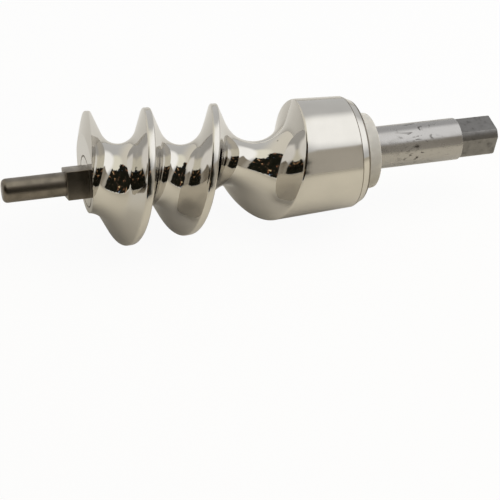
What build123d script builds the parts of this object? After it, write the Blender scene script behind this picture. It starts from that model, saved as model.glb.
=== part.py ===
from build123d import *
import math
import os

# Feed screw of a kitchen meat chopper: a cast worm with a left-hand flight, a stud that carries
# the knife and the hole plate, a drive shaft with a squared end, and a thrust washer.
# X runs along the axis, from the knife end at -X to the drive end at +X, and Z is up.
# The origin is on the axis, in the plane of the washer's rear face, which takes the thrust.

# Worm casting
worm_length = 120.3
front_diameter = 59.5
rear_diameter = 49.6
face_diameter = 41.0
face_bevel_length = 2.8
hub_bevel_length = 4.3
hub_end_diameter = 45.2

# Flight: front edge behind the front face, and channel depth, at each quarter turn
flight_starts = (2.3, 6.6, 13.6, 21.0, 27.7, 30.6, 39.1, 48.1, 57.5, 63.2, 79.2, 90.1, 95.0)
channel_depths = (16.3, 17.4, 15.8, 14.8, 14.2, 16.0, 14.6, 15.0, 16.4, 18.8, 18.0, 17.2, 17.6)
land_width = 2.9
front_flank_angle = 19.5
rear_flank_angle = 24.5
run_in_lead = 22.0
run_out_power = 1.15
run_out_shift = 3.3
flight_start_angle = 128.0

# Channel cutter
sections_per_half_turn = 8
first_half_turn = -0.3
run_out_end = 0.97
cutter_overrun = 1.0

# Knife stud
pin_diameter = 10.2
pin_length = 26.4
pin_tip_radius = 2.0
knife_square = 12.3
knife_square_length = 9.0
knife_square_turn = 26.2
flange_diameter = 21.8
flange_thickness = 5.0
stud_shank_diameter = 14.0
stud_shank_length = 25.0
seat_chamfer = 0.4

# Drive shaft
journal_diameter = 19.05
journal_length = 42.2
shaft_root_diameter = 19.6
drive_square = 14.9
drive_square_length = 17.8
drive_round_diameter = 17.6
drive_square_turn = 84.5
drive_end_chamfer = 0.5
spigot_diameter = 16.0
spigot_length = 25.0

# Thrust washer
washer_clearance = 0.8
washer_thickness = 7.5
washer_front_diameter = 36.8
washer_middle_diameter = 34.8
washer_rear_diameter = 33.4
washer_flare_length = 2.6

# Places that follow from the sizes
hub_face = -washer_thickness
hub_edge = hub_face - hub_bevel_length
front_face = hub_face - worm_length
cone_start = front_face + face_bevel_length
front_lean = math.radians(front_flank_angle)
rear_lean = math.radians(rear_flank_angle)
last_half_turn = (len(flight_starts) - 1) / 2


def cone_radius(x):
    """Outer radius of the flight and the hub at a place on the axis."""
    share = (x - front_face) / (hub_edge - front_face)
    return (front_diameter + (rear_diameter - front_diameter) * share) / 2


def between(values, half_turn):
    """Smooth value at any half turn, from values that are given at quarter turns."""
    place = 2 * half_turn
    low = min(max(math.floor(place), 0), len(values) - 2)
    s = place - low
    if s < 0:
        return values[0] + s * (values[1] - values[0])
    step = values[low + 1] - values[low]
    start = (values[low + 1] - values[low - 1]) / 2 if low > 0 else step
    end = (values[low + 2] - values[low]) / 2 if low + 2 < len(values) else step
    return values[low] + s * start + s * s * (3 * step - 2 * start - end) + s**3 * (start + end - 2 * step)


def channel_edges(half_turn):
    """Front edge, rear edge and floor radius of the channel at a half turn."""
    rear_of_flight = flight_starts[0] + land_width - run_in_lead * (2 - half_turn)
    if half_turn > 2:
        rear_of_flight = between(flight_starts, half_turn - 2) + land_width
    front_edge = front_face + rear_of_flight
    rear_edge = front_face + between(flight_starts, half_turn)
    depth = between(channel_depths, half_turn)
    if half_turn > last_half_turn:
        past = half_turn - last_half_turn
        fade = 1 - past**run_out_power
        full_front, full_rear, full_floor = channel_edges(last_half_turn)
        rear_edge = full_rear - run_out_shift * (1 - (1 - past) ** 4)
        front_edge = rear_edge - (full_rear - full_front) * fade
        depth = channel_depths[-1] * fade
    return front_edge, rear_edge, cone_radius(rear_edge) - depth


def section_plane(half_turn):
    """Plane through the axis whose local Y points outwards at a half turn."""
    angle = math.radians(flight_start_angle + 180 * half_turn)
    outwards = Vector(0, -math.cos(angle), math.sin(angle))
    return Plane(origin=(0, 0, 0), x_dir=(1, 0, 0), z_dir=Vector(1, 0, 0).cross(outwards))


def channel_section(half_turn):
    """Corners of the channel, a rounded V: two mouth corners, two flank ends and the lowest point."""
    front_edge, rear_edge, floor = channel_edges(half_turn)
    front_radius = cone_radius(front_edge)
    rear_radius = cone_radius(rear_edge)
    front_run = (front_radius - floor) * math.tan(front_lean)
    rear_run = (rear_radius - floor) * math.tan(rear_lean)
    front_share = (1 - math.sin(front_lean)) / math.cos(front_lean)
    rear_share = (1 - math.sin(rear_lean)) / math.cos(rear_lean)
    round_radius = (rear_edge - rear_run - front_edge - front_run) / (front_share + rear_share)
    middle = front_edge + front_run + round_radius * front_share
    mouth = max(front_radius, rear_radius) + cutter_overrun
    front_mouth = front_edge - (mouth - front_radius) * math.tan(front_lean)
    rear_mouth = rear_edge + (mouth - rear_radius) * math.tan(rear_lean)
    front_flank = middle - round_radius * math.cos(front_lean)
    rear_flank = middle + round_radius * math.cos(rear_lean)
    return (
        (front_mouth, mouth),
        (front_flank, floor + round_radius * (1 - math.sin(front_lean))),
        (middle, floor),
        (rear_flank, floor + round_radius * (1 - math.sin(rear_lean))),
        (rear_mouth, mouth),
    )


# Channel, lofted through rounded V sections that turn round the axis
section_count = round((last_half_turn + run_out_end - first_half_turn) * sections_per_half_turn)
with BuildPart() as channel:
    for number in range(section_count + 1):
        share = number / section_count
        half_turn = first_half_turn + share * (last_half_turn + run_out_end - first_half_turn)
        front_mouth, front_flank, lowest, rear_flank, rear_mouth = channel_section(half_turn)
        with BuildSketch(section_plane(half_turn)):
            with BuildLine():
                Line(front_mouth, front_flank)
                ThreePointArc(front_flank, lowest, rear_flank)
                Line(rear_flank, rear_mouth)
                Line(rear_mouth, front_mouth)
            make_face()
    loft()

# Worm: a coned blank with a bevelled front face and hub edge, bored at both ends and cut by the channel
with BuildPart() as worm:
    with BuildSketch(Plane.XY):
        with BuildLine():
            Polyline(
                (front_face, 0),
                (front_face, face_diameter / 2),
                (cone_start, cone_radius(cone_start)),
                (hub_edge, rear_diameter / 2),
                (hub_face, hub_end_diameter / 2),
                (hub_face, 0),
                close=True,
            )
        make_face()
    revolve(axis=Axis.X)
    with Locations(Plane(origin=(front_face, 0, 0), z_dir=(-1, 0, 0))):
        CounterBoreHole(
            stud_shank_diameter / 2,
            flange_diameter / 2,
            flange_thickness,
            flange_thickness + stud_shank_length,
        )
    with Locations(Plane(origin=(hub_face, 0, 0), z_dir=(1, 0, 0))):
        Hole(spigot_diameter / 2, spigot_length)
    seat_rim = worm.edges().filter_by(GeomType.CIRCLE).filter_by_position(Axis.X, front_face, front_face)
    chamfer(seat_rim.sort_by(SortBy.RADIUS)[0], seat_chamfer)
    add(channel.part, mode=Mode.SUBTRACT)
worm.part.label = "worm"

# Knife stud: flange and shank seated in the worm, a square for the knife and a pin for the hole plate
with BuildPart() as knife_stud:
    with BuildSketch(Plane(origin=(front_face, 0, 0), z_dir=(1, 0, 0))):
        Circle(flange_diameter / 2)
    extrude(amount=flange_thickness)
    with BuildSketch(Plane(origin=(front_face + flange_thickness, 0, 0), z_dir=(1, 0, 0))):
        Circle(stud_shank_diameter / 2)
    extrude(amount=stud_shank_length)
    flange_rim = knife_stud.edges().filter_by(GeomType.CIRCLE).group_by(Axis.X)[0]
    chamfer(flange_rim, seat_chamfer)
    with BuildSketch(Plane(origin=(front_face, 0, 0), x_dir=(0, -1, 0), z_dir=(-1, 0, 0))):
        Rectangle(knife_square, knife_square, rotation=knife_square_turn)
    extrude(amount=knife_square_length)
    square_end = knife_stud.faces().sort_by(Axis.X)[0]
    with BuildSketch(square_end):
        Circle(pin_diameter / 2)
    extrude(amount=pin_length)
    pin_tip = knife_stud.edges().filter_by(GeomType.CIRCLE).group_by(Axis.X)[0]
    fillet(pin_tip, pin_tip_radius)
knife_stud.part.label = "knife_stud"

# Drive shaft: a spigot in the hub, a root under the washer, a ground journal and a squared end
with BuildPart() as drive_shaft:
    with BuildSketch(Plane(origin=(hub_face - spigot_length, 0, 0), z_dir=(1, 0, 0))):
        Circle(spigot_diameter / 2)
    extrude(amount=spigot_length)
    with BuildSketch(Plane(origin=(hub_face, 0, 0), z_dir=(1, 0, 0))):
        Circle(shaft_root_diameter / 2)
    extrude(amount=washer_thickness)
    with BuildSketch(Plane(origin=(0, 0, 0), z_dir=(1, 0, 0))):
        Circle(journal_diameter / 2)
    extrude(amount=journal_length)
    with BuildSketch(Plane(origin=(journal_length, 0, 0), x_dir=(0, -1, 0), z_dir=(1, 0, 0))):
        Circle(drive_round_diameter / 2)
        Rectangle(drive_square, drive_square, rotation=-drive_square_turn, mode=Mode.INTERSECT)
    extrude(amount=drive_square_length)
    chamfer(drive_shaft.faces().sort_by(Axis.X)[-1].edges(), drive_end_chamfer)
drive_shaft.part.label = "drive_shaft"

# Thrust washer: hangs on the shaft's root by its clearance and lies against the hub's rear face
washer_bore_radius = shaft_root_diameter / 2 + washer_clearance
with BuildPart() as thrust_washer:
    with BuildSketch(Plane.XY.offset(-washer_clearance)):
        with BuildLine():
            Polyline(
                (hub_face, washer_bore_radius),
                (hub_face, washer_front_diameter / 2),
                (hub_face + washer_flare_length, washer_middle_diameter / 2),
                (0, washer_rear_diameter / 2),
                (0, washer_bore_radius),
                close=True,
            )
        make_face()
    revolve(axis=Axis((0, 0, -washer_clearance), (1, 0, 0)))
thrust_washer.part.label = "thrust_washer"

os.makedirs("parts", exist_ok=True)
export_step(worm.part, "parts/worm.step")
export_step(knife_stud.part, "parts/knife_stud.step")
export_step(drive_shaft.part, "parts/drive_shaft.step")
export_step(thrust_washer.part, "parts/thrust_washer.step")
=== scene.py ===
import math

import bmesh
import bpy
from bpy.props import FloatProperty, FloatVectorProperty, IntProperty, PointerProperty
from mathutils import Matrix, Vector


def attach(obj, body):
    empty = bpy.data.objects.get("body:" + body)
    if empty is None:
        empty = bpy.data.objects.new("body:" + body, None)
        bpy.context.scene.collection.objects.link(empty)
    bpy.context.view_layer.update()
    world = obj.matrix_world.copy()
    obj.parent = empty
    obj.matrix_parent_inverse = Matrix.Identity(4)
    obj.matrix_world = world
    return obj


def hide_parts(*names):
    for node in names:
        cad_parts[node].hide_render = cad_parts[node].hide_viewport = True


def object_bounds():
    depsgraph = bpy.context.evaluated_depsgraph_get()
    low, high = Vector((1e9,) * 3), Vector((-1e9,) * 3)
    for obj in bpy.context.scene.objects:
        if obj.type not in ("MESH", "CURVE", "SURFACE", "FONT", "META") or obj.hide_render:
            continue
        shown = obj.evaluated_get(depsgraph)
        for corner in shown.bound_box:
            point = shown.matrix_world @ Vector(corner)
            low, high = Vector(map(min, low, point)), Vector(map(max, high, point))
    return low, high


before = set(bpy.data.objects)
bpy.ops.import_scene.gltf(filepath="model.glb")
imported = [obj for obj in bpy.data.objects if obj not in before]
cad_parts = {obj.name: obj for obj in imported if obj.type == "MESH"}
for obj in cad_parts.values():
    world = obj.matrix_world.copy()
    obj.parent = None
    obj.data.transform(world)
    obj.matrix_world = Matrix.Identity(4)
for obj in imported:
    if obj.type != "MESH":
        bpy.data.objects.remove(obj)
cad_box = [list(corner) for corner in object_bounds()]

bl_info = {
    "name": "Feed screw",
    "version": (1, 0, 0),
    "blender": (4, 2, 0),
    "location": "View3D > Sidebar > Feed screw",
    "description": "Models the feed screw of a meat chopper and the studio it is shown in",
    "category": "Object",
}

MM = 0.001

# Worm casting, in millimetres: X runs along the axis from the knife end to the drive end
WORM_LENGTH = 120.3
FRONT_DIAMETER = 59.5
REAR_DIAMETER = 49.6
FACE_DIAMETER = 41.0
FACE_BEVEL_LENGTH = 2.8
HUB_BEVEL_LENGTH = 4.3
HUB_END_DIAMETER = 45.2
FLIGHT_STARTS = (2.3, 6.6, 13.6, 21.0, 27.7, 30.6, 39.1, 48.1, 57.5, 63.2, 79.2, 90.1, 95.0)
CHANNEL_DEPTHS = (16.3, 17.4, 15.8, 14.8, 14.2, 16.0, 14.6, 15.0, 16.4, 18.8, 18.0, 17.2, 17.6)
LAND_WIDTH = 2.9
FRONT_LEAN = math.radians(19.5)
REAR_LEAN = math.radians(24.5)
RUN_IN_LEAD = 22.0
RUN_OUT_POWER = 1.15
RUN_OUT_SHIFT = 3.3
FLIGHT_START_ANGLE = 128.0
FIRST_HALF_TURN = -0.3
LAST_HALF_TURN = (len(FLIGHT_STARTS) - 1) / 2
HUB_HALF_TURN = LAST_HALF_TURN - 1
END_HALF_TURN = LAST_HALF_TURN + 1

# Knife stud
PIN_DIAMETER = 10.2
PIN_LENGTH = 26.4
PIN_TIP_RADIUS = 2.0
KNIFE_SQUARE = 12.3
KNIFE_SQUARE_LENGTH = 9.0
KNIFE_SQUARE_TURN = 26.2
FLANGE_DIAMETER = 21.8
FLANGE_THICKNESS = 5.0
SEAT_CHAMFER = 0.4

# Drive shaft
JOURNAL_DIAMETER = 19.05
JOURNAL_LENGTH = 42.2
SHAFT_ROOT_DIAMETER = 19.6
DRIVE_SQUARE = 14.9
DRIVE_SQUARE_LENGTH = 17.8
DRIVE_ROUND_DIAMETER = 17.6
DRIVE_SQUARE_TURN = 84.5

# Thrust washer
WASHER_CLEARANCE = 0.8
WASHER_THICKNESS = 7.5
WASHER_FRONT_DIAMETER = 36.8
WASHER_MIDDLE_DIAMETER = 34.8
WASHER_REAR_DIAMETER = 33.4
WASHER_FLARE_LENGTH = 2.6

# Places that follow from the sizes
HUB_FACE = -WASHER_THICKNESS
HUB_EDGE = HUB_FACE - HUB_BEVEL_LENGTH
FRONT_FACE = HUB_FACE - WORM_LENGTH
CONE_START = FRONT_FACE + FACE_BEVEL_LENGTH

# Camera that stands where the photograph was taken from
CAMERA_PLACE = (-0.22473, -0.46316, 0.35986)
CAMERA_TURN = (53.607, -4.469, -16.828)
CAMERA_LENS = 100.78
CAMERA_SHIFT_Y = -0.168


def linear(colour):
    """Linear red, green and blue of an sRGB hex colour."""
    parts = [int(colour[k : k + 2], 16) / 255 for k in (1, 3, 5)]
    return tuple(c / 12.92 if c <= 0.04045 else ((c + 0.055) / 1.055) ** 2.4 for c in parts)


def colour_setting(name, description, colour):
    """Setting for a colour, given in sRGB hex."""
    return FloatVectorProperty(
        name=name,
        description=description,
        subtype="COLOR",
        size=3,
        min=0.0,
        max=1.0,
        default=linear(colour),
    )


class WormSettings(bpy.types.PropertyGroup):
    """Sizes and colours of the polished worm."""

    colour: colour_setting("Metal colour", "Tint that the polished casting gives its reflections", "#d8d5d0")
    edge_round: FloatProperty(
        name="Edge round",
        description="Radius on both edges of the flight's land",
        default=0.9 * MM,
        min=0.1 * MM,
        max=1.2 * MM,
        unit="LENGTH",
    )
    rows: IntProperty(
        name="Rows",
        description="Rows of faces in each half turn of the flight",
        default=120,
        min=24,
        max=180,
    )


class FittingSettings(bpy.types.PropertyGroup):
    """Colours of the stud, the shaft and the washer."""

    stud_colour: colour_setting("Stud colour", "Dark steel of the knife stud", "#8a837a")
    shaft_colour: colour_setting("Shaft colour", "Ground steel of the drive shaft", "#b2b0af")
    stain_colour: colour_setting("Stain colour", "Stains and scratches on the drive shaft", "#3a3531")
    washer_colour: colour_setting("Washer colour", "White nylon of the thrust washer", "#c6c3bd")


class StudioSettings(bpy.types.PropertyGroup):
    """Light and floor of the studio."""

    floor_colour: colour_setting("Floor colour", "Pale floor in front of the screw", "#ddd6c5")
    back_colour: colour_setting("Back colour", "Floor behind the screw, nearer the pale wall", "#dfddd9")
    softbox_power: FloatProperty(
        name="Softbox power",
        description="Power of the softbox high on the right",
        default=1.6,
        min=0.0,
        unit="POWER",
    )


def cone_radius(x):
    """Outer radius of the flight and the hub at a place on the axis."""
    share = (x - FRONT_FACE) / (HUB_EDGE - FRONT_FACE)
    return (FRONT_DIAMETER + (REAR_DIAMETER - FRONT_DIAMETER) * share) / 2


def between(values, half_turn):
    """Smooth value at any half turn, from values that are given at quarter turns."""
    place = 2 * half_turn
    low = min(max(math.floor(place), 0), len(values) - 2)
    s = place - low
    if s < 0:
        return values[0] + s * (values[1] - values[0])
    step = values[low + 1] - values[low]
    start = (values[low + 1] - values[low - 1]) / 2 if low > 0 else step
    end = (values[low + 2] - values[low]) / 2 if low + 2 < len(values) else step
    return values[low] + s * start + s * s * (3 * step - 2 * start - end) + s**3 * (start + end - 2 * step)


def channel_edges(half_turn):
    """Front edge, rear edge and floor radius of the channel at a half turn."""
    rear_of_flight = FLIGHT_STARTS[0] + LAND_WIDTH - RUN_IN_LEAD * (2 - half_turn)
    if half_turn > 2:
        rear_of_flight = between(FLIGHT_STARTS, half_turn - 2) + LAND_WIDTH
    front_edge = FRONT_FACE + rear_of_flight
    rear_edge = FRONT_FACE + between(FLIGHT_STARTS, half_turn)
    depth = between(CHANNEL_DEPTHS, half_turn)
    if half_turn > LAST_HALF_TURN:
        past = half_turn - LAST_HALF_TURN
        fade = max(0.0, 1 - past**RUN_OUT_POWER)
        full_front, full_rear = channel_edges(LAST_HALF_TURN)[:2]
        rear_edge = full_rear - RUN_OUT_SHIFT * (1 - (1 - past) ** 4)
        front_edge = rear_edge - (full_rear - full_front) * fade
        depth = CHANNEL_DEPTHS[-1] * fade
    return front_edge, rear_edge, cone_radius(rear_edge) - depth


def arc(corner, towards_a, towards_b, radius, steps):
    """Points of a round that takes off a corner between two directions."""
    a = Vector(towards_a).normalized()
    b = Vector(towards_b).normalized()
    half = a.angle(b) / 2
    reach = radius / math.tan(half)
    centre = Vector(corner) + (a + b).normalized() * (radius / math.sin(half))
    start = Vector(corner) + a * reach - centre
    end = Vector(corner) + b * reach - centre
    turn = start.angle(end)
    points = []
    for k in range(steps + 1):
        share = k / steps
        first = math.sin((1 - share) * turn) / math.sin(turn)
        last = math.sin(share * turn) / math.sin(turn)
        points.append(centre + start * first + end * last)
    return points


def spread(a, b, steps):
    """Points between two ends, without the ends."""
    return [Vector(a).lerp(Vector(b), k / steps) for k in range(1, steps)]


# Steps of the flight's rows, and lengths in millimetres that only the dressed pieces have
EDGE_STEPS = 6
FLANK_STEPS = 6
FLOOR_STEPS = 18
CHANNEL_STEPS = 2 * EDGE_STEPS + 2 * FLANK_STEPS + FLOOR_STEPS
LAND_STEPS = 2
HUB_STEPS = 12
THINNEST_LAND = 0.6
HUB_RIM = 3.0
HUB_SEAM = 1.1
HUB_EDGE_ROUND = 1.0
HUB_END_ROUND = 0.8
TOOL_OVERRUN = 1.0
WORM_SHARP_ANGLE = 14.0
FITTING_SHARP_ANGLE = 25.0
WASHER_SHARP_ANGLE = 35.0

# How far a stud's or shaft's lengths run into each other, out of sight
SUNK = 1.0


def channel_row(half_turn, edge_round):
    """Section of the channel at a half turn, from the land in front of it to the land behind it."""
    front_edge, rear_edge, floor = channel_edges(half_turn)
    if half_turn > END_HALF_TURN - 1e-6:
        return [Vector((front_edge, cone_radius(front_edge)))] * (CHANNEL_STEPS + 1)
    front_radius = cone_radius(front_edge)
    rear_radius = cone_radius(rear_edge)
    front_run = (front_radius - floor) * math.tan(FRONT_LEAN)
    rear_run = (rear_radius - floor) * math.tan(REAR_LEAN)
    front_share = (1 - math.sin(FRONT_LEAN)) / math.cos(FRONT_LEAN)
    rear_share = (1 - math.sin(REAR_LEAN)) / math.cos(REAR_LEAN)
    floor_round = (rear_edge - rear_run - front_edge - front_run) / (front_share + rear_share)
    centre = Vector((front_edge + front_run + floor_round * front_share, floor + floor_round))

    # Where the flight starts, its two flanks meet below the outer radius
    slopes = math.tan(FRONT_LEAN) + math.tan(REAR_LEAN)
    front_drop = 0.0
    rear_drop = 0.0
    if half_turn < 0:
        behind = channel_edges(half_turn + 2)[0]
        rear_drop = max(0.0, (rear_edge - behind + THINNEST_LAND) / slopes)
    if 2 + FIRST_HALF_TURN <= half_turn < 2:
        ahead = channel_edges(half_turn - 2)[1]
        front_drop = max(0.0, (ahead - front_edge + THINNEST_LAND) / slopes)
    front_corner = (front_edge + front_drop * math.tan(FRONT_LEAN), front_radius - front_drop)
    rear_corner = (rear_edge - rear_drop * math.tan(REAR_LEAN), rear_radius - rear_drop)

    cone_slope = (REAR_DIAMETER - FRONT_DIAMETER) / 2 / (HUB_EDGE - FRONT_FACE)
    size = min(edge_round, 0.12 * (rear_edge - front_edge))
    front_down = (math.sin(FRONT_LEAN), -math.cos(FRONT_LEAN))
    rear_down = (-math.sin(REAR_LEAN), -math.cos(REAR_LEAN))
    front_arc = arc(front_corner, (-1, -cone_slope), front_down, size, EDGE_STEPS)
    rear_arc = arc(rear_corner, rear_down, (1, cone_slope), size, EDGE_STEPS)
    floor_points = []
    first = math.pi + FRONT_LEAN
    last = 2 * math.pi - REAR_LEAN
    for k in range(FLOOR_STEPS + 1):
        turn = first + (last - first) * k / FLOOR_STEPS
        floor_points.append(centre + floor_round * Vector((math.cos(turn), math.sin(turn))))
    row = front_arc + spread(front_arc[-1], floor_points[0], FLANK_STEPS) + floor_points
    return row + spread(floor_points[-1], rear_arc[0], FLANK_STEPS) + rear_arc


def turned(point, half_turn):
    """Place in the row frame, in metres, of an axial section's point at a half turn."""
    angle = math.radians(FLIGHT_START_ANGLE + 180 * half_turn)
    return Vector((point[0], -point[1] * math.cos(angle), point[1] * math.sin(angle))) * MM


def sheet_of_rows(mesh, rows, half_turns):
    """Grid whose lines are axial sections, one at each half turn."""
    across = len(rows[0]) - 1
    along = len(rows) - 1
    made = bmesh.ops.create_grid(mesh, x_segments=along, y_segments=across, size=0.5)
    for vertex in made["verts"]:
        i = round((vertex.co.x + 0.5) * along)
        j = round((vertex.co.y + 0.5) * across)
        vertex.co = turned(rows[i][j], half_turns[i])


def lathe(mesh, outline, steps):
    """Closed body turned about the axis from an outline of places on the axis and radii, in millimetres."""
    corners = [mesh.verts.new((x * MM, -r * MM, 0)) for x, r in outline]
    edges = [mesh.edges.new(pair) for pair in zip(corners, corners[1:])]
    if outline[0][1] > 0:
        edges.append(mesh.edges.new((corners[-1], corners[0])))
    bmesh.ops.spin(
        mesh,
        geom=corners + edges,
        cent=(0, 0, 0),
        axis=(1, 0, 0),
        angle=2 * math.pi,
        steps=steps,
        use_merge=True,
    )
    bmesh.ops.remove_doubles(mesh, verts=mesh.verts[:], dist=1e-6)


def rounded(points, radii, steps=5):
    """Outline whose inner corners have rounds of the given radii."""
    outline = [Vector(points[0])]
    for before, corner, after, radius in zip(points, points[1:], points[2:], radii):
        if radius == 0:
            outline.append(Vector(corner))
            continue
        a = Vector(before) - Vector(corner)
        b = Vector(after) - Vector(corner)
        outline += arc(corner, a, b, radius, steps)
    return outline + [Vector(points[-1])]


def piece(name, mesh, sharp_angle):
    """Object of a finished mesh: faces outwards, smooth apart from edges over the sharp angle."""
    bmesh.ops.remove_doubles(mesh, verts=mesh.verts[:], dist=1e-6)
    bmesh.ops.recalc_face_normals(mesh, faces=mesh.faces[:])
    data = bpy.data.meshes.new(name)
    mesh.to_mesh(data)
    mesh.free()
    data.shade_smooth()
    data.set_sharp_from_angle(angle=math.radians(sharp_angle))
    made = bpy.data.objects.new(name, data)
    bpy.context.scene.collection.objects.link(made)
    return made


def node(tree, kind, inputs=None, **settings):
    """Node with its settings, and its inputs as values or links."""
    made = tree.nodes.new(kind)
    for name, value in settings.items():
        setattr(made, name, value)
    for socket, value in (inputs or {}).items():
        if isinstance(value, bpy.types.NodeSocket):
            tree.links.new(value, made.inputs[socket])
        else:
            made.inputs[socket].default_value = value
    return made


def new_material(name):
    """Material with its output, and the place on the object that its nodes work from."""
    made = bpy.data.materials.new(name)
    made.use_nodes = True
    tree = made.node_tree
    tree.nodes.clear()
    output = tree.nodes.new("ShaderNodeOutputMaterial")
    place = node(tree, "ShaderNodeTexCoord").outputs["Object"]
    return made, tree, output, place


def ramp(tree, value, stops):
    """Colour ramp with its stops, each a place and a linear colour."""
    made = node(tree, "ShaderNodeValToRGB", {"Fac": value})
    elements = made.color_ramp.elements
    while len(elements) < len(stops):
        elements.new(1.0)
    for element, (place, colour) in zip(elements, stops):
        element.position = place
        element.color = (*colour, 1.0)
    return made.outputs["Color"]


def grey(level):
    """Grey for ramps that carry a number."""
    return (level, level, level)


def shade(colour, share):
    """Darker kind of a linear colour."""
    return tuple(share * part for part in colour)


def maths(tree, operation, *values):
    """Result of an operation on values or links."""
    made = node(tree, "ShaderNodeMath", dict(enumerate(values)), operation=operation)
    return made.outputs["Value"]


def smooth(tree, value, low, high):
    """None at one level of a value and one at another, with a soft step between them."""
    made = node(
        tree,
        "ShaderNodeMapRange",
        {"Value": value, "From Min": low, "From Max": high},
        interpolation_type="SMOOTHSTEP",
    )
    return made.outputs["Result"]


def band(tree, value, low, high, soft):
    """One between two levels of a value, and none outside them, with soft edges."""
    rise = smooth(tree, value, low - soft, low + soft)
    fall = smooth(tree, value, high + soft, high - soft)
    return maths(tree, "MULTIPLY", rise, fall)


def mix(tree, factor, first, second):
    """Mix of two colours, each a linear colour or a link."""
    inputs = {"Factor": factor}
    for socket, colour in ((6, first), (7, second)):
        inputs[socket] = colour if isinstance(colour, bpy.types.NodeSocket) else (*colour, 1.0)
    return node(tree, "ShaderNodeMix", inputs, data_type="RGBA").outputs[2]


def stretched(tree, place, scale):
    """Places drawn out along the axes, so that spots turn into streaks or rings."""
    return node(tree, "ShaderNodeMapping", {"Vector": place, "Scale": scale}).outputs["Vector"]


def noise(tree, place, size, detail, distortion=0.0):
    """Noise with spots of a size in millimetres."""
    made = node(
        tree,
        "ShaderNodeTexNoise",
        {"Vector": place, "Scale": 1 / (size * MM), "Detail": detail, "Distortion": distortion},
    )
    return made.outputs["Fac"]


def bump(tree, height, distance, strength):
    """Surface direction over bumps of a height in millimetres."""
    made = node(tree, "ShaderNodeBump", {"Height": height, "Distance": distance * MM, "Strength": strength})
    return made.outputs["Normal"]


def metal(tree, output, base, roughness, normal):
    """Bare metal surface."""
    shader = node(
        tree,
        "ShaderNodeBsdfPrincipled",
        {"Base Color": base, "Metallic": 1.0, "Roughness": roughness, "Normal": normal},
    )
    tree.links.new(shader.outputs["BSDF"], output.inputs["Surface"])


def polished_casting(colour):
    """Polished cast metal: hand-buffed to a mirror, so it shows the studio with a slight wobble, and it keeps
    a few small pits where the casting was porous, as dark spots: dirt in them and painted shade."""
    made, tree, output, place = new_material("polished cast metal")
    tint = ramp(tree, noise(tree, place, 18, 4.0), ((0.3, shade(colour, 0.92)), (0.7, colour)))
    # Pits as dark spots: dirt in them, and painted shade where the mesh has no hollow
    pits = node(tree, "ShaderNodeTexVoronoi", {"Vector": place, "Scale": 1 / (15 * MM)})
    pit_dirt_and_shade = ramp(tree, pits.outputs["Distance"], ((0.014, grey(0.7)), (0.032, grey(0.0))))
    base = mix(tree, pit_dirt_and_shade, tint, linear("#2c2824"))
    wavy = bump(tree, noise(tree, place, 16, 1.0), 0.22, 0.5)
    roughness = ramp(tree, noise(tree, place, 9, 5.0), ((0.35, grey(0.03)), (0.75, grey(0.08))))
    metal(tree, output, base, roughness, wavy)
    return made


def turned_casting(colour):
    """Turned cast metal: the lathe's fine rings are buffed over, so highlights are soft and run round the hub."""
    made, tree, output, place = new_material("turned cast metal")
    lines = noise(tree, stretched(tree, place, (1.0, 0.04, 0.04)), 0.8, 3.0)
    base = ramp(tree, noise(tree, place, 14, 4.0), ((0.3, shade(colour, 0.92)), (0.7, colour)))
    roughness = ramp(tree, lines, ((0.3, grey(0.08)), (0.7, grey(0.13))))
    metal(tree, output, base, roughness, bump(tree, lines, 0.006, 0.4))
    return made


def dark_steel(colour):
    """Dark worn steel: oil-blackened, then rubbed bright by the knife and the plate, so its sheen is patchy."""
    made, tree, output, place = new_material("dark worn steel")
    mottle = noise(tree, place, 5, 5.0)
    base = ramp(tree, mottle, ((0.3, shade(colour, 0.7)), (0.65, colour)))
    roughness = ramp(tree, mottle, ((0.3, grey(0.40)), (0.7, grey(0.28))))
    metal(tree, output, base, roughness, bump(tree, mottle, 0.03, 0.3))
    return made


def ground_steel(colour, stain):
    """Ground steel: a satin sheen along the shaft with fine rings from grinding, and thin dark stains from use."""
    made, tree, output, place = new_material("ground steel")
    grind = noise(tree, stretched(tree, place, (1.0, 0.05, 0.05)), 0.5, 3.0)
    streak = noise(tree, stretched(tree, place, (0.6, 1.0, 1.0)), 4, 6.0, 1.6)
    along = node(tree, "ShaderNodeSeparateXYZ", {"Vector": place}).outputs["X"]
    worn = band(tree, along, 13 * MM, 29 * MM, 5 * MM)
    smear = ramp(tree, streak, ((0.575, grey(0.0)), (0.64, grey(0.8))))
    base = mix(tree, maths(tree, "MULTIPLY", smear, worn), colour, stain)
    roughness = ramp(tree, streak, ((0.4, grey(0.20)), (0.7, grey(0.30))))
    metal(tree, output, base, roughness, bump(tree, grind, 0.003, 0.3))
    return made


def milled_steel(colour):
    """Milled steel: darker than the ground journal, with flats left dull and flecked by the cutter and the drive."""
    made, tree, output, place = new_material("milled steel")
    fleck = noise(tree, place, 3, 6.0)
    stops = ((0.30, shade(colour, 0.30)), (0.42, shade(colour, 0.46)), (0.7, shade(colour, 0.54)))
    roughness = ramp(tree, fleck, ((0.3, grey(0.42)), (0.7, grey(0.28))))
    metal(tree, output, ramp(tree, fleck, stops), roughness, bump(tree, fleck, 0.03, 0.4))
    return made


def white_nylon(colour):
    """White nylon: turned from rod, waxy, and lit a little from within."""
    made, tree, output, place = new_material("white nylon")
    base = ramp(tree, noise(tree, place, 5, 3.0), ((0.35, shade(colour, 0.88)), (0.65, colour)))
    shader = node(
        tree,
        "ShaderNodeBsdfPrincipled",
        {
            "Base Color": base,
            "Roughness": 0.38,
            "IOR": 1.53,
            "Subsurface Weight": 0.35,
            "Subsurface Radius": (1.0, 0.9, 0.8),
            "Subsurface Scale": 2 * MM,
        },
    )
    tree.links.new(shader.outputs["BSDF"], output.inputs["Surface"])
    return made


def dress(made, materials, cad_node):
    """Gives a piece its materials and sets it in place of its CAD node."""
    for material in materials:
        made.data.materials.append(material)
    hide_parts(cad_node)
    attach(made, "root")


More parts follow.
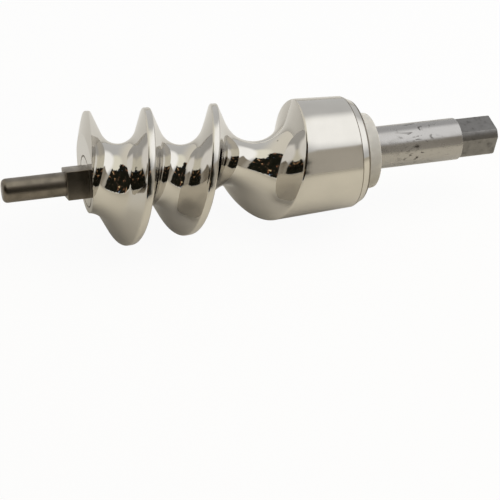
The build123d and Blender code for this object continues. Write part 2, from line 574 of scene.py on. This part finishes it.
class FEEDSCREW_OT_worm(bpy.types.Operator):
    """Model the worm: the flight, its channel and the hub, bevelled at the front and bored for the stud"""

    bl_idname = "feedscrew.worm"
    bl_label = "Worm"

    def execute(self, context):
        settings = context.scene.feedscrew_worm
        count = settings.rows
        edge_round = settings.edge_round / MM
        first = round(FIRST_HALF_TURN * count)
        hub = round(HUB_HALF_TURN * count)
        end = round(END_HALF_TURN * count)
        rows = {i: channel_row(i / count, edge_round) for i in range(first, end + 1)}
        mesh = bmesh.new()

        # Channel, and the land of the flight behind it
        steps = range(first, end + 1)
        sheet_of_rows(mesh, [rows[i] for i in steps], [i / count for i in steps])
        steps = range(first, hub + 1)
        lands = []
        for i in steps:
            front, rear = rows[i][-1], rows[i + 2 * count][0]
            lands.append([front] + spread(front, rear, LAND_STEPS) + [rear])
        sheet_of_rows(mesh, lands, [i / count for i in steps])

        # Hub: the land widens into it over the last turn, and its rear edge is bevelled
        steps = range(hub, end + 1)
        rim = Vector((HUB_EDGE - HUB_RIM, cone_radius(HUB_EDGE - HUB_RIM)))
        hub_rows = []
        seam = rows[end][-1]
        for i in steps:
            start = rows[i][-1]
            reach = (seam[0] - rows[hub][-1][0]) * (end - i) / (end - hub)
            split = Vector((start[0] + reach, cone_radius(start[0] + reach)))
            row = [start] + spread(start, split, LAND_STEPS) + [split]
            row += spread(split, rim, HUB_STEPS) + [rim]
            hub_rows.append(row)
        sheet_of_rows(mesh, hub_rows, [i / count for i in steps])
        edge = Vector((HUB_EDGE, cone_radius(HUB_EDGE)))
        corner = Vector((HUB_FACE, HUB_END_DIAMETER / 2))
        seam_start = corner.lerp(edge, HUB_SEAM / HUB_BEVEL_LENGTH)
        bevel = rounded(
            [rim, edge, seam_start, corner, (HUB_FACE, SHAFT_ROOT_DIAMETER / 2)],
            [HUB_EDGE_ROUND, 0, HUB_END_ROUND],
        )
        sheet_of_rows(mesh, [bevel] * len(steps), [i / count for i in steps])
        bmesh.ops.remove_doubles(mesh, verts=mesh.verts[:], dist=2e-6)
        bmesh.ops.dissolve_degenerate(mesh, edges=mesh.edges[:], dist=1e-6)

        # Flat front face
        bmesh.ops.bisect_plane(
            mesh,
            geom=mesh.verts[:] + mesh.edges[:] + mesh.faces[:],
            plane_co=(FRONT_FACE * MM, 0, 0),
            plane_no=(-1, 0, 0),
            clear_outer=True,
        )
        open_edges = [edge for edge in mesh.edges if edge.is_boundary]
        bmesh.ops.holes_fill(mesh, edges=open_edges, sides=0)
        made = piece("worm_body", mesh, WORM_SHARP_ANGLE)

        # Front bevel and the seat of the stud's flange are turned off it
        cutter = bmesh.new()
        bevel_rise = (cone_radius(CONE_START) - FACE_DIAMETER / 2) / FACE_BEVEL_LENGTH
        past = TOOL_OVERRUN
        lathe(
            cutter,
            [
                (FRONT_FACE - past, FACE_DIAMETER / 2 - past * bevel_rise),
                (CONE_START + past, cone_radius(CONE_START) + past * bevel_rise),
                (CONE_START + past, FRONT_DIAMETER),
                (FRONT_FACE - past, FRONT_DIAMETER),
            ],
            240,
        )
        seat = FLANGE_DIAMETER / 2
        lathe(
            cutter,
            [
                (FRONT_FACE - past, 0),
                (FRONT_FACE - past, seat + SEAT_CHAMFER + past),
                (FRONT_FACE + SEAT_CHAMFER, seat),
                (FRONT_FACE + FLANGE_THICKNESS, seat),
                (FRONT_FACE + FLANGE_THICKNESS, 0),
            ],
            160,
        )
        turning = piece("turning_tool", cutter, WORM_SHARP_ANGLE)
        cut = made.modifiers.new("front turning", "BOOLEAN")
        cut.operation = "DIFFERENCE"
        cut.solver = "EXACT"
        cut.object = turning
        graph = context.evaluated_depsgraph_get()
        finished = bpy.data.meshes.new_from_object(made.evaluated_get(graph))
        made.modifiers.clear()
        made.data = finished
        made.data.shade_smooth()
        made.data.set_sharp_from_angle(angle=math.radians(WORM_SHARP_ANGLE))
        bpy.data.objects.remove(turning)

        # Faces on the cone are turned; dark steel is painted shade round the stud's flange and along the hub's rear
        # edges
        for face in made.data.polygons:
            radius = math.hypot(face.center.y, face.center.z) / MM
            on_cone = abs(radius - cone_radius(face.center.x / MM)) < 0.06
            if on_cone and face.center.x > CONE_START * MM:
                face.material_index = 1
            in_groove = seat - 0.1 < radius < seat + SEAT_CHAMFER and face.center.x < (FRONT_FACE + 1.0) * MM
            on_edge = radius > HUB_END_DIAMETER / 2 and abs(face.center.x / MM - HUB_EDGE) < 0.25
            at_washer = radius > HUB_END_DIAMETER / 2 - 1.2 and face.center.x > (HUB_FACE - HUB_SEAM) * MM
            if in_groove or on_edge or at_washer:
                face.material_index = 2
        # Dark steel as painted shade: in the groove round the flange, on the hub's rear edge and in the seam at the
        # washer
        painted_crease_shade = dark_steel(context.scene.feedscrew_fittings.stud_colour)
        materials = [polished_casting(settings.colour), turned_casting(settings.colour), painted_crease_shade]
        dress(made, materials, "worm")
        return {"FINISHED"}


def add_prism(mesh, outline, start, length):
    """Straight bar along the axis with an outline of places across it, in millimetres."""
    ring = [mesh.verts.new((start * MM, y * MM, z * MM)) for y, z in outline]
    face = mesh.faces.new(ring)
    made = bmesh.ops.extrude_face_region(mesh, geom=[face])
    ends = [item for item in made["geom"] if isinstance(item, bmesh.types.BMVert)]
    bmesh.ops.translate(mesh, verts=ends, vec=(length * MM, 0, 0))
    return ring + ends


class FEEDSCREW_OT_knife_stud(bpy.types.Operator):
    """Model the knife stud: a flange in the worm's face, a square for the knife and a pin for the hole plate"""

    bl_idname = "feedscrew.knife_stud"
    bl_label = "Knife stud"

    def execute(self, context):
        mesh = bmesh.new()
        half = KNIFE_SQUARE / 2
        square_end = FRONT_FACE - KNIFE_SQUARE_LENGTH
        turn = math.radians(KNIFE_SQUARE_TURN)
        outline = []
        for u, w in ((half, half), (-half, half), (-half, -half), (half, -half)):
            across = -(u * math.cos(turn) - w * math.sin(turn))
            up = u * math.sin(turn) + w * math.cos(turn)
            outline.append((across, up))
        add_prism(mesh, outline, square_end, KNIFE_SQUARE_LENGTH + SUNK)
        bmesh.ops.bevel(
            mesh,
            geom=mesh.edges[:],
            offset=0.45 * MM,
            segments=3,
            profile=0.5,
            affect="EDGES",
            material=-1,
        )
        lathe(
            mesh,
            rounded(
                [
                    (FRONT_FACE, 0),
                    (FRONT_FACE, FLANGE_DIAMETER / 2),
                    (FRONT_FACE + FLANGE_THICKNESS, FLANGE_DIAMETER / 2),
                    (FRONT_FACE + FLANGE_THICKNESS, 0),
                ],
                [SEAT_CHAMFER, 0],
            ),
            128,
        )
        tip = square_end - PIN_LENGTH
        lathe(
            mesh,
            rounded(
                [
                    (tip, 0),
                    (tip, PIN_DIAMETER / 2),
                    (square_end + SUNK, PIN_DIAMETER / 2),
                    (square_end + SUNK, 0),
                ],
                [PIN_TIP_RADIUS, 0],
                8,
            ),
            96,
        )
        made = piece("knife_stud_body", mesh, FITTING_SHARP_ANGLE)
        groove = (FLANGE_DIAMETER / 2 - SEAT_CHAMFER) * MM
        for face in made.data.polygons:
            in_groove = math.hypot(face.center.y, face.center.z) > groove
            face.material_index = int(face.center.x > (FRONT_FACE - 0.05) * MM and not in_groove)
        scene = context.scene
        materials = [dark_steel(scene.feedscrew_fittings.stud_colour), turned_casting(scene.feedscrew_worm.colour)]
        dress(made, materials, "knife_stud")
        return {"FINISHED"}


class FEEDSCREW_OT_drive_shaft(bpy.types.Operator):
    """Model the drive shaft: its root in the hub, the ground journal and the squared end"""

    bl_idname = "feedscrew.drive_shaft"
    bl_label = "Drive shaft"

    def execute(self, context):
        mesh = bmesh.new()
        half = DRIVE_SQUARE / 2
        turn = math.radians(DRIVE_SQUARE_TURN)
        corners = bmesh.ops.create_circle(mesh, segments=192, radius=DRIVE_ROUND_DIAMETER / 2)["verts"]
        outline = []
        for vertex in corners:
            u = min(max(vertex.co.x, -half), half)
            w = min(max(vertex.co.y, -half), half)
            outline.append((-(u * math.cos(turn) - w * math.sin(turn)), u * math.sin(turn) + w * math.cos(turn)))
        mesh.clear()
        add_prism(mesh, outline, JOURNAL_LENGTH - SUNK, DRIVE_SQUARE_LENGTH + SUNK)
        end = (JOURNAL_LENGTH + DRIVE_SQUARE_LENGTH) * MM
        rim = [edge for edge in mesh.edges if all(abs(v.co.x - end) < 1e-7 for v in edge.verts)]
        bmesh.ops.bevel(
            mesh,
            geom=rim,
            offset=0.5 * MM,
            segments=3,
            profile=0.5,
            affect="EDGES",
            material=-1,
        )
        lathe(
            mesh,
            rounded(
                [
                    (HUB_FACE - SUNK, 0),
                    (HUB_FACE - SUNK, SHAFT_ROOT_DIAMETER / 2),
                    (0, SHAFT_ROOT_DIAMETER / 2),
                    (0, JOURNAL_DIAMETER / 2),
                    (JOURNAL_LENGTH, JOURNAL_DIAMETER / 2),
                    (JOURNAL_LENGTH, 0),
                ],
                [0, 0, 0, 0.4],
            ),
            160,
        )
        made = piece("drive_shaft_body", mesh, FITTING_SHARP_ANGLE)
        settings = context.scene.feedscrew_fittings
        for face in made.data.polygons:
            face.material_index = int(face.center.x > JOURNAL_LENGTH * MM + 1e-6)
        materials = [ground_steel(settings.shaft_colour, settings.stain_colour), milled_steel(settings.shaft_colour)]
        dress(made, materials, "drive_shaft")
        return {"FINISHED"}


class FEEDSCREW_OT_thrust_washer(bpy.types.Operator):
    """Model the thrust washer, which hangs on the shaft by its clearance"""

    bl_idname = "feedscrew.thrust_washer"
    bl_label = "Thrust washer"

    def execute(self, context):
        mesh = bmesh.new()
        bore = SHAFT_ROOT_DIAMETER / 2 + WASHER_CLEARANCE
        front = WASHER_FRONT_DIAMETER / 2
        middle = (bore + front) / 2
        lathe(
            mesh,
            rounded(
                [
                    (HUB_FACE, middle),
                    (HUB_FACE, front),
                    (HUB_FACE + WASHER_FLARE_LENGTH, WASHER_MIDDLE_DIAMETER / 2),
                    (0, WASHER_REAR_DIAMETER / 2),
                    (0, bore),
                    (HUB_FACE, bore),
                    (HUB_FACE, middle),
                ],
                [0.5, 3.0, 0.6, 0.4, 0.4],
            )[:-1],
            160,
        )
        bmesh.ops.translate(mesh, verts=mesh.verts[:], vec=(0, 0, -WASHER_CLEARANCE * MM))
        made = piece("thrust_washer_body", mesh, WASHER_SHARP_ANGLE)
        colour = context.scene.feedscrew_fittings.washer_colour
        dress(made, [white_nylon(colour)], "thrust_washer")
        return {"FINISHED"}


# Share of plain white in the floor, as the camera sees it and as the metal shows it
SEEN_WHITE = 0.94
MIRRORED_WHITE = 0.08
FLOOR_SIZE = 8.0
SOFTBOX_SIZE = 0.50
SOFTBOX_PLACE = (0.22, -0.04, 0.46)
SOFTBOX_FACING = (0.27, -0.04, 0.46)
WINDOW_WAY = (0.70, -0.06, 0.71)
WINDOW_LIGHT = (1.28, 1.28, 1.26)


def floor_material(settings):
    """Studio floor: nearly white to the camera, and a pale shaded floor in the metal."""
    made, tree, output, place = new_material("studio floor")
    rays = node(tree, "ShaderNodeLightPath").outputs
    mirrored = maths(tree, "MAXIMUM", rays["Is Glossy Ray"], rays["Is Transmission Ray"])
    faint = maths(tree, "MULTIPLY", mirrored, MIRRORED_WHITE)
    share = maths(tree, "MULTIPLY_ADD", rays["Is Camera Ray"], SEEN_WHITE, faint)
    depth = node(tree, "ShaderNodeSeparateXYZ", {"Vector": place}).outputs["Y"]
    back = node(tree, "ShaderNodeMapRange", {"Value": depth, "From Min": -0.03, "From Max": 0.06})
    tone = ramp(tree, back.outputs["Result"], ((0.0, settings.floor_colour), (1.0, settings.back_colour)))
    matt = node(tree, "ShaderNodeBsdfDiffuse", {"Color": tone})
    glow = node(tree, "ShaderNodeEmission", {"Color": (1.0, 1.0, 1.0, 1.0), "Strength": 1.0})
    mixed = node(tree, "ShaderNodeMixShader", {0: share, 1: matt.outputs["BSDF"], 2: glow.outputs["Emission"]})
    tree.links.new(mixed.outputs["Shader"], output.inputs["Surface"])
    return made


def room_world():
    """World: a pale room, with a bright window on the right and a dim, cluttered side in front of the screw."""
    made = bpy.data.worlds.new("studio")
    made.use_nodes = True
    tree = made.node_tree
    tree.nodes.clear()
    direction = node(tree, "ShaderNodeTexCoord").outputs["Generated"]
    level = node(tree, "ShaderNodeSeparateXYZ", {"Vector": direction}).outputs

    # Directions pushed about a little, so that the clutter's outline is ragged
    ragged = node(tree, "ShaderNodeTexNoise", {"Vector": direction, "Scale": 6.0, "Detail": 3.0})
    pushed = node(
        tree,
        "ShaderNodeVectorMath",
        {0: ragged.outputs["Color"], 1: (0.14, 0.14, 0.14), 2: (-0.07, -0.07, -0.07)},
        operation="MULTIPLY_ADD",
    )
    shifted = node(tree, "ShaderNodeVectorMath", {0: direction, 1: pushed.outputs["Vector"]}, operation="ADD")
    axes = node(tree, "ShaderNodeSeparateXYZ", {"Vector": shifted.outputs["Vector"]}).outputs
    azimuth = maths(tree, "ARCTAN2", axes["X"], maths(tree, "MULTIPLY", axes["Y"], -1.0))

    # Walls, ceiling and window
    sides = smooth(tree, level["X"], -0.5, 0.2)
    walls = ramp(tree, sides, ((0.0, linear("#eae5d8")), (1.0, linear("#d0d0cf"))))
    room = mix(tree, smooth(tree, level["Z"], 0.80, 0.95), walls, linear("#fffcec"))
    facing = node(tree, "ShaderNodeVectorMath", {0: direction, 1: WINDOW_WAY}, operation="DOT_PRODUCT")
    lit = mix(tree, smooth(tree, facing.outputs["Value"], 0.74, 0.90), room, WINDOW_LIGHT)

    # Brown boards low on the right
    right = band(tree, azimuth, math.radians(10), math.radians(70), math.radians(4))
    low = band(tree, level["Z"], -0.02, 0.66, 0.03)
    brown = ((math.radians(30), linear("#b6b0a4")), (math.radians(42), linear("#958d7f")))
    furnished = mix(tree, maths(tree, "MULTIPLY", right, low), lit, ramp(tree, azimuth, brown))

    # Dim side with a few coloured glints
    glint = node(tree, "ShaderNodeTexNoise", {"Vector": direction, "Scale": 5.0, "Detail": 2.5})
    clutter = ramp(
        tree,
        glint.outputs["Fac"],
        (
            (0.27, linear("#8fa3c0")),
            (0.32, linear("#15160f")),
            (0.60, linear("#22211a")),
            (0.65, linear("#5b4a3a")),
            (0.68, linear("#a0563a")),
            (0.72, linear("#e4d8a4")),
        ),
    )
    across = band(tree, azimuth, math.radians(-105), math.radians(20), math.radians(2))
    height = band(tree, axes["Z"], 0.03, 0.915, 0.012)
    surround = mix(tree, maths(tree, "MULTIPLY", across, height), furnished, clutter)
    background = node(tree, "ShaderNodeBackground", {"Color": surround, "Strength": 1.0})
    output = node(tree, "ShaderNodeOutputWorld")
    tree.links.new(background.outputs["Background"], output.inputs["Surface"])
    return made


class FEEDSCREW_OT_studio(bpy.types.Operator):
    """Set the pale floor, the soft light and the camera at the photograph's angle"""

    bl_idname = "feedscrew.studio"
    bl_label = "Studio"

    def execute(self, context):
        scene = context.scene
        settings = scene.feedscrew_studio
        mesh = bmesh.new()
        bmesh.ops.create_grid(mesh, x_segments=1, y_segments=1, size=FLOOR_SIZE)
        bmesh.ops.translate(mesh, verts=mesh.verts[:], vec=(0, 0, cad_box[0][2]))
        data = bpy.data.meshes.new("floor")
        mesh.to_mesh(data)
        mesh.free()
        data.materials.append(floor_material(settings))
        floor = bpy.data.objects.new("floor", data)
        scene.collection.objects.link(floor)

        # Softbox high on the right: it lights the floor, and the metal shows the window in its place
        lamp = bpy.data.lights.new("softbox", "AREA")
        lamp.shape = "RECTANGLE"
        lamp.size = SOFTBOX_SIZE
        lamp.size_y = SOFTBOX_SIZE
        lamp.energy = settings.softbox_power
        softbox = bpy.data.objects.new("softbox", lamp)
        softbox.location = SOFTBOX_PLACE
        softbox.rotation_euler = Vector(SOFTBOX_FACING).to_track_quat("Z", "Y").to_euler()
        softbox.visible_glossy = False
        scene.collection.objects.link(softbox)
        scene.world = room_world()

        camera = bpy.data.objects.new("camera", bpy.data.cameras.new("camera"))
        scene.collection.objects.link(camera)
        camera.location = CAMERA_PLACE
        camera.rotation_euler = [math.radians(turn) for turn in CAMERA_TURN]
        camera.data.sensor_width = 36.0
        camera.data.lens = CAMERA_LENS
        camera.data.shift_y = CAMERA_SHIFT_Y
        camera.data.clip_start = 0.01
        scene.camera = camera
        scene.view_settings.view_transform = "Standard"
        return {"FINISHED"}


class FEEDSCREW_PT_pieces(bpy.types.Panel):
    """Lists the feed screw's pieces and their settings"""

    bl_idname = "FEEDSCREW_PT_pieces"
    bl_label = "Feed screw"
    bl_space_type = "VIEW_3D"
    bl_region_type = "UI"
    bl_category = "Feed screw"

    def draw(self, context):
        for operator in OPERATORS:
            self.layout.operator(operator.bl_idname)
        for name in SETTINGS:
            group = getattr(context.scene, name)
            for key in group.bl_rna.properties.keys():
                if key not in ("rna_type", "name"):
                    self.layout.prop(group, key)


OPERATORS = (
    FEEDSCREW_OT_worm,
    FEEDSCREW_OT_knife_stud,
    FEEDSCREW_OT_drive_shaft,
    FEEDSCREW_OT_thrust_washer,
    FEEDSCREW_OT_studio,
)
SETTINGS = {
    "feedscrew_worm": WormSettings,
    "feedscrew_fittings": FittingSettings,
    "feedscrew_studio": StudioSettings,
}


def register():
    """Registers the classes and hangs their settings on the scene."""
    for name, group in SETTINGS.items():
        bpy.utils.register_class(group)
        setattr(bpy.types.Scene, name, PointerProperty(type=group))
    for operator in OPERATORS:
        bpy.utils.register_class(operator)
    bpy.utils.register_class(FEEDSCREW_PT_pieces)


def unregister():
    """Takes the classes and their settings away again."""
    bpy.utils.unregister_class(FEEDSCREW_PT_pieces)
    for operator in reversed(OPERATORS):
        bpy.utils.unregister_class(operator)
    for name, group in SETTINGS.items():
        delattr(bpy.types.Scene, name)
        bpy.utils.unregister_class(group)


def main():
    """Models every piece and the studio."""
    register()
    bpy.ops.feedscrew.worm()
    bpy.ops.feedscrew.knife_stud()
    bpy.ops.feedscrew.drive_shaft()
    bpy.ops.feedscrew.thrust_washer()
    bpy.ops.feedscrew.studio()
    bpy.context.view_layer.update()


if __name__ == "__main__":
    main()
